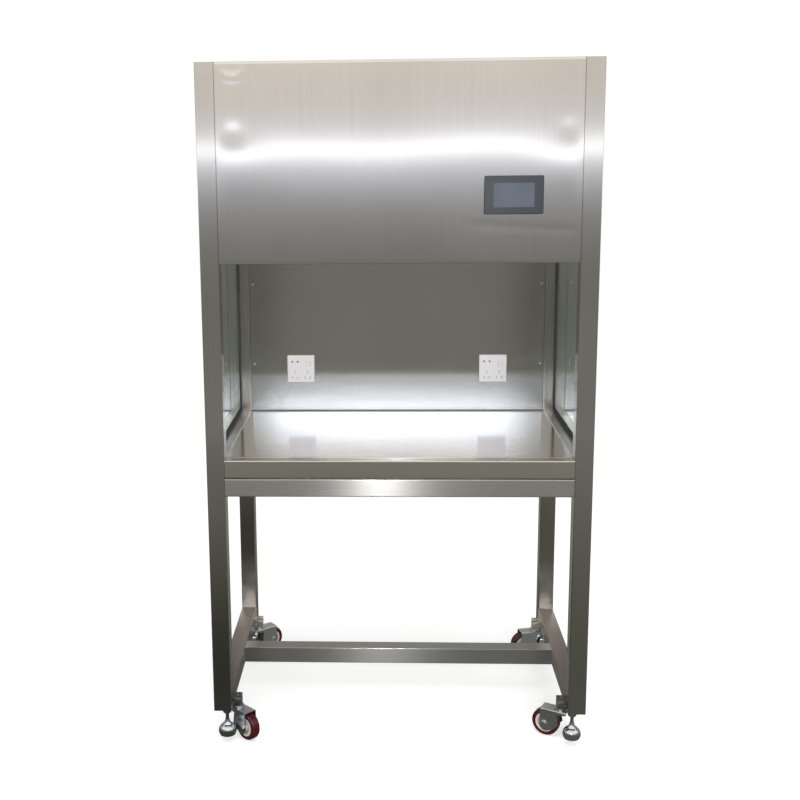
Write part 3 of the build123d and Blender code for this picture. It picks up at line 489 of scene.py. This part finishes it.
def soft_finish(name, colour, roughness, grain_mm, depth_mm, contrast=0.06, **sockets):
    """A moulded, painted or cast finish: a fine grain in its relief and slow changes of tone."""
    material, tree, shader = start_material(name, **sockets)
    place = add_node(tree, "ShaderNodeTexCoord").outputs["Object"]
    grain = add_node(tree, "ShaderNodeTexNoise", {"Vector": place, "Scale": 1 / (grain_mm * MM),
                                                  "Detail": 3.0})
    clouds = add_node(tree, "ShaderNodeTexNoise", {"Vector": place, "Scale": 1 / PATCH, "Detail": 2.0})
    shade = add_node(tree, "ShaderNodeMapRange", {"Value": clouds.outputs[0], "From Min": 0.25,
                                                  "From Max": 0.75, "To Min": 1 - contrast,
                                                  "To Max": 1 + contrast})
    tinted = add_node(tree, "ShaderNodeVectorMath", {0: linear(colour)[:3], "Scale": shade.outputs["Result"]},
                      operation="SCALE")
    tree.links.new(tinted.outputs[0], shader.inputs["Base Color"])
    dull = add_node(tree, "ShaderNodeMapRange", {"Value": grain.outputs[0], "To Min": roughness * 0.85,
                                                 "To Max": roughness * 1.15})
    tree.links.new(dull.outputs["Result"], shader.inputs["Roughness"])
    bump = add_node(tree, "ShaderNodeBump", {"Height": grain.outputs[0], "Distance": depth_mm * MM,
                                             "Strength": 0.6})
    tree.links.new(bump.outputs[0], shader.inputs["Normal"])
    return material


seal_rubber = soft_finish("epdm_seal", "#454F4E", 0.62, 0.8, 0.02)
bezel_abs = soft_finish("abs_bezel_slate", "#1A2027", 0.38, 0.5, 0.02)
black_nylon = soft_finish("nylon_black", "#17181A", 0.42, 0.6, 0.03)
socket_urea = soft_finish("urea_white", "#E3DFE2", 0.22, 2.0, 0.004, contrast=0.02)
dark_contact = soft_finish("socket_shutter_dark", "#2A2A2E", 0.5, 0.6, 0.01)
shutter_grey = soft_finish("socket_shutter_grey", "#A9A5AA", 0.4, 0.6, 0.01)
screen_film, tree, shader = start_material("touch_film_over_display", Roughness=0.16, IOR=1.5,
                                           Coat_Weight=0.3, Coat_Roughness=0.08)
place = add_node(tree, "ShaderNodeTexCoord").outputs["Object"]
backlight = add_node(tree, "ShaderNodeTexNoise", {"Vector": place, "Scale": 1 / SCREEN_PATCH,
                                                  "Detail": 1.0})
ramp = add_node(tree, "ShaderNodeValToRGB", {0: backlight.outputs[0]})
set_ramp(ramp, [(0.35, "#3F454B"), (0.65, "#474B59")])
tree.links.new(ramp.outputs["Color"], shader.inputs["Base Color"])
print("glass, rubber, plastics and display")

# %% [markdown]
# ## Caster, foot and inner finishes
#
# The forks are pressed steel with a bright blue-passivated zinc plate, which looks cold grey. The tyre
# is cast polyurethane, translucent enough to glow a little at its shoulders. The wheel centre is
# cream-grey nylon. The levelling feet are chrome plated. Inside the header are galvanised sheet,
# mottled by its zinc crystals, satin extruded aluminium, white powder coat, black enamel, and the matt
# fibres of the filter's paper and the pre-filter's mat.

# %% Caster, foot and inner finishes
ZINC_EDGE = 2.2         # bend radius of the folded forks in millimetres

zinc = steel("zinc_plate_blue_passivated", "#C9CFD6", "X", 0.28, 0.0, tone=0.12)
chrome = steel("chrome_plate", "#C9CED1", "X", 0.10, 0.0, tone=0.02)
tyre_pu = soft_finish("polyurethane_red", "#3D0B14", 0.26, 1.2, 0.02, contrast=0.15, Subsurface_Weight=0.05,
                      Subsurface_Scale=0.003)


def catch_edges(material, radius_mm):
    """Rounds the corners as light sees them: folded plate has no sharp edge, so its edges shine."""
    tree = material.node_tree
    rounded = add_node(tree, "ShaderNodeBevel", {"Radius": radius_mm * MM}, samples=6)
    tree.links.new(rounded.outputs[0], tree.nodes["Principled BSDF"].inputs["Normal"])


catch_edges(zinc, ZINC_EDGE)
hub_nylon = soft_finish("nylon_cream_grey", "#B9B0A6", 0.45, 0.8, 0.02, contrast=0.05)
galvanised = soft_finish("galvanised_sheet", "#B4B8BA", 0.42, 9.0, 0.01, contrast=0.14, Metallic=1.0)
aluminium = soft_finish("extruded_aluminium", "#CFD0D2", 0.34, 1.0, 0.005, contrast=0.04, Metallic=1.0)
powder_white = soft_finish("white_powder_coat", "#E6E6E3", 0.45, 0.7, 0.03, contrast=0.02)
motor_enamel = soft_finish("black_enamel", "#24272B", 0.35, 1.5, 0.02)
paper_white = soft_finish("glass_fibre_paper", "#EDEBE4", 0.85, 0.4, 0.05, contrast=0.03)
mat_white = soft_finish("polyester_mat", "#DDE0E2", 0.9, 2.5, 0.4, contrast=0.05)
silicone = soft_finish("silicone_joint_grey", "#59676B", 0.35, 3.0, 0.01, contrast=0.05)
opal = soft_finish("opal_lamp_glass", "#F3F3F0", 0.12, 3.0, 0.002, contrast=0.01)
print(f"edges of the zinc plate rounded to {ZINC_EDGE} mm for the light")

# %% [markdown]
# ## Which piece has which finish
#
# The record names a finish slot for every piece. The tubes need one more thing: their grain follows
# their length, so posts, cross-wise rails and depth-wise rails take versions of one finish.

# %% Dress the measured pieces
by_slot = {
    "stainless_tube": post_steel, "stainless_panel": side_steel, "stainless_liner": wall_steel,
    "stainless_worktop": worktop_steel, "window_glass": glass, "black_seal": seal_rubber,
    "zinc_fork": zinc, "hub_nylon": hub_nylon, "red_tread": tyre_pu, "foot_chrome": chrome,
    "socket_white": socket_urea, "filter_aluminium": aluminium, "filter_paper": paper_white,
    "white_diffuser": powder_white, "white_enamel": powder_white, "lamp_tube": opal,
    "galvanised": galvanised, "motor_paint": motor_enamel, "prefilter_mat": mat_white,
    "bezel_plastic": bezel_abs, "screen_glass": screen_film, "black_nylon": black_nylon,
    "screw_steel": turned_steel,
}
by_name = {"top_panel": lid_steel, "caster_stems": zinc, "base_cross_rail": base_steel_x}
for name in nodes:
    if name == "table_rail_front":
        by_name[name] = apron_steel
    elif name in ("table_rail_rear", "under_rail_front"):
        by_name[name] = rail_steel_x
    elif name.startswith(("table_rail_", "base_rail_")):
        by_name[name] = rail_steel_y
    # the rear posts take the steel with painted shade towards their feet
    elif name.startswith("post_rear"):
        by_name[name] = foot_shaded_post_steel
for entry in frame["record"]["subparts"]:
    piece = nodes[entry["node"]]
    piece.data.materials.clear()
    piece.data.materials.append(by_name.get(entry["node"], by_slot[entry["material_slot"]]))
print(f"{len(nodes)} pieces dressed in {len(bpy.data.materials)} materials")

# %% [markdown]
# ## Header skin
#
# The header's front is one thin folded tray, and thin sheet is never flat. It is pressed in a little
# near its welded sides, and this one has a round knock at the top left and a faint crease under the
# screen. None of the marks is deeper than a millimetre, yet they bend the white band, so they are made
# in the mesh. The tray starts as a box without its back. Its front edges are rounded, it is ruled into
# a fine grid by cutting it with planes, and each point of the front is then pushed in by a formula.

# %% Helpers for added pieces
SMOOTH_UP_TO = math.radians(32)     # sharper corners than this stay crisp


def finish_piece(bm, name, material):
    """Turns a bmesh into an object that rides on the cabinet and has a finish."""
    mesh = bpy.data.meshes.new(name)
    bm.to_mesh(mesh)
    bm.free()
    mesh.shade_smooth()
    mesh.set_sharp_from_angle(angle=SMOOTH_UP_TO)
    mesh.materials.append(material)
    obj = bpy.data.objects.new(name, mesh)
    bpy.context.scene.collection.objects.link(obj)
    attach(obj, "cabinet")
    return obj


def add_box(bm, low, high):
    """A box between two corners. Returns its vertices."""
    low, high = Vector(low), Vector(high)
    made = bmesh.ops.create_cube(bm, size=1.0)["verts"]
    for vert in made:
        vert.co = (low + high) / 2 + Vector(c * s for c, s in zip(vert.co, high - low))
    return made


print(f"corners over {math.degrees(SMOOTH_UP_TO):.0f} degrees stay crisp")

# %% Marks in the header's front
# a mark's place is (x, z) in metres on the front, its radius is in metres and its depth in millimetres
HOLLOWS = [((-0.429, 1.711), 0.028, 0.62), ((0.437, 1.715), 0.024, 0.34),
           ((-0.415, 1.620), 0.075, -0.36), ((0.430, 1.615), 0.070, -0.50)]
KNOCK_PLACE, KNOCK_RADIUS, KNOCK_WIDTH, KNOCK_DEPTH = (-0.428, 1.888), 0.041, 0.011, -0.75
CREASE_START, CREASE_RUN_IN = 0.15, 0.08
CREASE_MIDDLE, CREASE_SLOPE = (0.32, 1.462), 0.06
CREASE_WIDTH, CREASE_DEPTH = 0.009, 0.16
LONG_WAVE, SHORT_WAVE = 0.16, 0.10      # depth in millimetres of the sheet's slow waves


def hollow_at(x, z, centre, radius, depth):
    """A round dimple, as the distance by which it pushes the sheet in."""
    return depth * math.exp(-((x - centre[0]) ** 2 + (z - centre[1]) ** 2) / radius ** 2)


def knock_at(x, z):
    """The ring that a round knock leaves: the sheet stands proud on a circle."""
    off_circle = math.hypot(x - KNOCK_PLACE[0], z - KNOCK_PLACE[1]) - KNOCK_RADIUS
    return KNOCK_DEPTH * math.exp(-(off_circle / KNOCK_WIDTH) ** 2)


def crease_at(x, z):
    """The faint crease under the screen, which grows from its left end and falls to the right."""
    off_line = z - CREASE_MIDDLE[1] + CREASE_SLOPE * (x - CREASE_MIDDLE[0])
    grown = min(1.0, max(0.0, (x - CREASE_START) / CREASE_RUN_IN))
    return CREASE_DEPTH * grown * math.exp(-(off_line / CREASE_WIDTH) ** 2)


def sheet_relief(x, z):
    """How far in millimetres the header's front is pushed in at a place."""
    marks = knock_at(x, z) + crease_at(x, z) + sum(hollow_at(x, z, *hollow) for hollow in HOLLOWS)
    waves = LONG_WAVE * math.sin(5.2 * x + 0.8) * math.sin(9.0 * (z - 1.40))
    return marks + waves + SHORT_WAVE * math.sin(11.0 * x - 1.1) * math.cos(13.0 * (z - 1.55))


print(f"{len(HOLLOWS)} hollows, a knock and a crease")

# %% Build the header skin
SHEET = 1.2 * MM
CORNER, CORNER_STEPS = 1.6 * MM, 3
GRID = 9 * MM
SEAM = 1.2 * MM         # dark gap between the skin and each post
OPENING_LIP = 6 * MM    # the bezel covers the opening's rim by this much
LAY_BACK = 0.7          # millimetres by which the middle of the sheet lies behind its edges
EDGE_FOLD = 20 * MM     # within this distance of either side the fold keeps the sheet straight
HANGER_FRONT, HANGER_BACK, HANGER_INSET = 3 * MM, 9 * MM, 2 * MM
CLOSE = 0.01 * MM       # points nearer than this to a plane are taken to lie in it


def open_tray(low, high):
    """A box without its back, with rounded front edges."""
    bm = bmesh.new()
    add_box(bm, low, high)
    back = max(bm.faces, key=lambda face: face.calc_center_median().y)
    bmesh.ops.delete(bm, geom=[back], context="FACES_ONLY")
    rim = [edge for edge in bm.edges if all(vert.co.y - low.y < CLOSE for vert in edge.verts)]
    bmesh.ops.bevel(bm, geom=rim, offset=CORNER, segments=CORNER_STEPS, affect="EDGES", profile=0.5)
    return bm


def rule_grid(bm, low, high, opening):
    """Cuts a mesh along the opening's sides and then every GRID."""
    cuts = [(0, opening[0]), (0, opening[1]), (2, opening[2]), (2, opening[3])]
    for axis in (0, 2):
        count = int((high[axis] - low[axis]) / GRID)
        cuts += [(axis, low[axis] + i * GRID) for i in range(1, count + 1)]
    for axis, at in cuts:
        point, normal = Vector(), Vector()
        point[axis], normal[axis] = at, 1
        bmesh.ops.bisect_plane(bm, geom=bm.verts[:] + bm.edges[:] + bm.faces[:], plane_co=point,
                               plane_no=normal)


def cut_opening(bm, front, opening):
    """Takes out the faces of the front that lie inside the screen's opening."""
    left, right, bottom, top = opening
    middles = [(face, face.calc_center_median()) for face in bm.faces]
    inside = [face for face, at in middles
              if abs(at.y - front) < CLOSE and left < at.x < right and bottom < at.z < top]
    bmesh.ops.delete(bm, geom=inside, context="FACES")


def press_in(bm, low, high):
    """Pushes each point of the front in by the sheet's relief, less and less near the side folds."""
    for vert in bm.verts:
        if vert.co.y < low.y + 2 * CORNER:
            held = min(1.0, min(vert.co.x - low.x, high.x - vert.co.x) / EDGE_FOLD)
            vert.co.y += (LAY_BACK + sheet_relief(vert.co.x, vert.co.z)) * held * MM


panel_low, panel_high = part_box("front_header_panel")
bezel_low, bezel_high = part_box("screen_bezel")
low, high = panel_low + Vector((SEAM, 0, 0)), panel_high - Vector((SEAM, 0, 0))
opening = (bezel_low.x + OPENING_LIP, bezel_high.x - OPENING_LIP,
           bezel_low.z + OPENING_LIP, bezel_high.z - OPENING_LIP)
bm = open_tray(low, high)
rule_grid(bm, low, high, opening)
cut_opening(bm, low.y, opening)
press_in(bm, low, high)
bmesh.ops.recalc_face_normals(bm, faces=bm.faces[:])
bmesh.ops.solidify(bm, geom=bm.faces[:], thickness=SHEET)
for left, right in ((panel_low.x, low.x + SHEET / 2), (high.x - SHEET / 2, panel_high.x)):
    add_box(bm, (left, low.y + HANGER_FRONT, low.z + HANGER_INSET),
            (right, low.y + HANGER_BACK, high.z - HANGER_INSET))
skin = finish_piece(bm, "header_skin", header_steel)
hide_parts("front_header_panel")
print(f"header skin: {len(skin.data.polygons)} faces")

# %% [markdown]
# ## Foot of the back wall
#
# A folded skirt carries the liner's face down to the worktop. A thin bead of silicone closes the
# joint under it. A fitter smooths such a bead with a wet finger, which leaves its face hollow, so it
# is an extruded profile with a quarter circle in front.

# %% Silicone joint and wall foot
BEAD_REACH, BEAD_RISE, BEAD_STEPS = 2.4 * MM, 2.4 * MM, 6
BEAD_ROOT = 2 * MM      # how far the bead goes in under the skirt
SKIRT_SHEET, SKIRT_LAP = 2 * MM, 0.3 * MM
SKIRT_DIP = 0.8         # share of the bead's height at which the skirt starts, behind the bead

wall_low, wall_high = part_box("back_wall")
worktop_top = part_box("worktop")[1].z
turns = [i * math.pi / 2 / BEAD_STEPS for i in range(BEAD_STEPS + 1)]
outline = [(-BEAD_REACH * (1 - math.sin(turn)), BEAD_RISE * (1 - math.cos(turn))) for turn in turns]
outline += [(BEAD_ROOT, BEAD_RISE), (BEAD_ROOT, 0)]
bm = bmesh.new()
ends = [[bm.verts.new((x, wall_low.y + back, worktop_top + up)) for back, up in outline]
        for x in (wall_low.x, wall_high.x)]
for i in range(len(outline)):
    j = (i + 1) % len(outline)
    bm.faces.new((ends[0][i], ends[0][j], ends[1][j], ends[1][i]))
for end in ends:
    bm.faces.new(end)
bmesh.ops.recalc_face_normals(bm, faces=bm.faces[:])
finish_piece(bm, "joint_bead", silicone)

skirt = bmesh.new()
add_box(skirt, (wall_low.x, wall_low.y, worktop_top + BEAD_RISE * SKIRT_DIP),
        (wall_high.x, wall_low.y + SKIRT_SHEET, wall_low.z + SKIRT_LAP))
finish_piece(skirt, "wall_foot_skirt", wall_steel)
print(f"bead: {BEAD_RISE / MM:.1f} mm high, {(wall_high.x - wall_low.x):.2f} m long")

# %% [markdown]
# ## Inside of the sockets
#
# Behind each round hole of a socket lies a dark contact with a rolled rim, which a lathe would turn, so
# it is a profile spun about its axis. Behind each slot lies a small grey shutter that keeps fingers
# out. Both are placed by shares of the plate's side, as they are on the real plate.

# %% Socket contacts and shutters
# places on a socket plate, as shares of its side from the top left corner, and a slot's turn
ROUND_HOLES = [(0.18, 0.23), (0.38, 0.23)]
SLOTS = [(0.28, 0.62, 90), (0.74, 0.62, 90), (0.18, 0.82, -60), (0.37, 0.82, 60),
         (0.64, 0.82, -60), (0.83, 0.82, 60)]
# forms in millimetres: (radius, height) points, and the half sides of a shutter
CONTACT_PROFILE = [(0.0, 0.0), (2.2, 0.0), (2.9, 0.4), (2.9, -2.0)]
SHUTTER_HALF_LENGTH, SHUTTER_HALF_WIDTH, SHUTTER_SHEET = 4.4, 1.1, 1.0
CONTACT_DEPTH, SHUTTER_DEPTH = 1.6 * MM, 2.4 * MM       # behind the plate's face
TURNED_SEGMENTS = 24


def add_turned(bm, profile, place):
    """A turned form from (radius, height) points in millimetres, put where a 4x4 matrix says."""
    rings = []
    for radius, rise in profile:
        count = TURNED_SEGMENTS if radius else 1
        turns = [i * math.tau / count for i in range(count)]
        rings.append([bm.verts.new(place @ Vector((radius * math.cos(t), radius * math.sin(t), rise)))
                      for t in turns])
    for lower, upper in zip(rings, rings[1:]):
        for i in range(TURNED_SEGMENTS):
            j = (i + 1) % TURNED_SEGMENTS
            corners = [lower[i % len(lower)], lower[j % len(lower)], upper[j % len(upper)],
                       upper[i % len(upper)]]
            bm.faces.new(list(dict.fromkeys(corners)))


def facing(at, out, turn=0.0):
    """A matrix in millimetres for a form that stands at a place and faces along `out`."""
    look = Vector(out).to_track_quat("Z", "Y").to_matrix().to_4x4()
    return Matrix.Translation(at) @ look @ Matrix.Rotation(turn, 4, "Z") @ Matrix.Scale(MM, 4)


contacts, shutters = bmesh.new(), bmesh.new()
for side in ("left", "right"):
    plate_low, plate_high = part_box(f"socket_plate_{side}")
    width = plate_high.x - plate_low.x
    for across, down in ROUND_HOLES:
        at = (plate_low.x + across * width, plate_low.y + CONTACT_DEPTH, plate_high.z - down * width)
        add_turned(contacts, CONTACT_PROFILE, facing(at, (0, -1, 0)))
    for across, down, angle in SLOTS:
        at = (plate_low.x + across * width, plate_low.y + SHUTTER_DEPTH, plate_high.z - down * width)
        bar = add_box(shutters, (-SHUTTER_HALF_LENGTH, -SHUTTER_HALF_WIDTH, -SHUTTER_SHEET),
                      (SHUTTER_HALF_LENGTH, SHUTTER_HALF_WIDTH, 0.0))
        bmesh.ops.transform(shutters, verts=bar, matrix=facing(at, (0, -1, 0), math.radians(-angle)))
finish_piece(contacts, "socket_contacts", dark_contact)
finish_piece(shutters, "socket_shutters", shutter_grey)
print(f"sockets: {2 * len(ROUND_HOLES)} contacts and {2 * len(SLOTS)} shutters")

# %% [markdown]
# ## Screws
#
# The sheets are held by pan-head screws with a cross recess. One head is turned from a profile and its
# cross is cut with a boolean. A copy then goes to the place of each measured screw, with the cross
# turned differently each time, as a fitter leaves them.

# %% Turn one screw head
# all in millimetres
HEAD_PROFILE = [(0.0, 2.2), (1.9, 2.12), (3.1, 1.7), (3.8, 0.95), (4.0, 0.3), (4.0, -0.2), (0.0, -0.2)]
RECESS_SPAN, RECESS_WIDTH, RECESS_DEPTH = 4.4, 0.9, 1.3
CUTTER_TOP = 3.0


def make_screw_head():
    """One pan head with its cross recess, as a mesh in millimetres that faces +Z."""
    blank, cross = bmesh.new(), bmesh.new()
    add_turned(blank, HEAD_PROFILE, Matrix.Identity(4))
    bmesh.ops.recalc_face_normals(blank, faces=blank.faces[:])
    floor_of_recess = HEAD_PROFILE[0][1] - RECESS_DEPTH
    for x, y in ((RECESS_SPAN / 2, RECESS_WIDTH / 2), (RECESS_WIDTH / 2, RECESS_SPAN / 2)):
        add_box(cross, (-x, -y, floor_of_recess), (x, y, CUTTER_TOP))
    head = finish_piece(blank, "screw_head_blank", turned_steel)
    cutter = finish_piece(cross, "screw_recess_cutter", turned_steel)
    cut = head.modifiers.new("cross recess", "BOOLEAN")
    cut.operation, cut.solver, cut.object = "DIFFERENCE", "EXACT", cutter
    cut.use_self = True
    mesh = bpy.data.meshes.new_from_object(head.evaluated_get(bpy.context.evaluated_depsgraph_get()))
    for scrap in (head, cutter):
        bpy.data.objects.remove(scrap)
    return mesh


head_mesh = make_screw_head()
print(f"one screw head: {len(head_mesh.polygons)} faces")

# %% Put a head on each measured screw
SCREW_TURN = 0.7        # radians from one screw's cross to the next


def loose_parts(obj):
    """The (low, high) corners of each separate solid in a mesh, in an order that never changes."""
    bm = bmesh.new()
    bm.from_mesh(obj.data)
    bm.transform(obj.matrix_world)
    bmesh.ops.remove_doubles(bm, verts=bm.verts[:], dist=CLOSE)
    left, found = set(bm.verts), []
    while left:
        group, to_visit = set(), [left.pop()]
        while to_visit:
            vert = to_visit.pop()
            group.add(vert)
            near = {edge.other_vert(vert) for edge in vert.link_edges} & left
            left -= near
            to_visit += near
        spots = [vert.co for vert in group]
        found.append((Vector(map(min, zip(*spots))), Vector(map(max, zip(*spots)))))
    bm.free()
    return sorted(found, key=lambda corners: tuple(corners[0]))


def seat_of(low, high):
    """Where a screw head sits and the way it faces, which is along the thin side of its box."""
    size = high - low
    axis = min(range(3), key=lambda a: size[a])
    out = Vector((0, 0, 0))
    out[axis] = -1 if axis == 1 and low.y < wall_high.y else 1
    return (low + high) / 2 - out * size[axis] / 2, out


screws = bmesh.new()
for i, (low, high) in enumerate(loose_parts(nodes["panel_screws"])):
    seat, out = seat_of(low, high)
    copy = head_mesh.copy()
    copy.transform(facing(seat, out, SCREW_TURN * i))
    screws.from_mesh(copy)
    bpy.data.meshes.remove(copy)
print(f"screws: {len(screws.faces)} faces")
heads = finish_piece(screws, "screw_heads", turned_steel)
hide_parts("panel_screws")
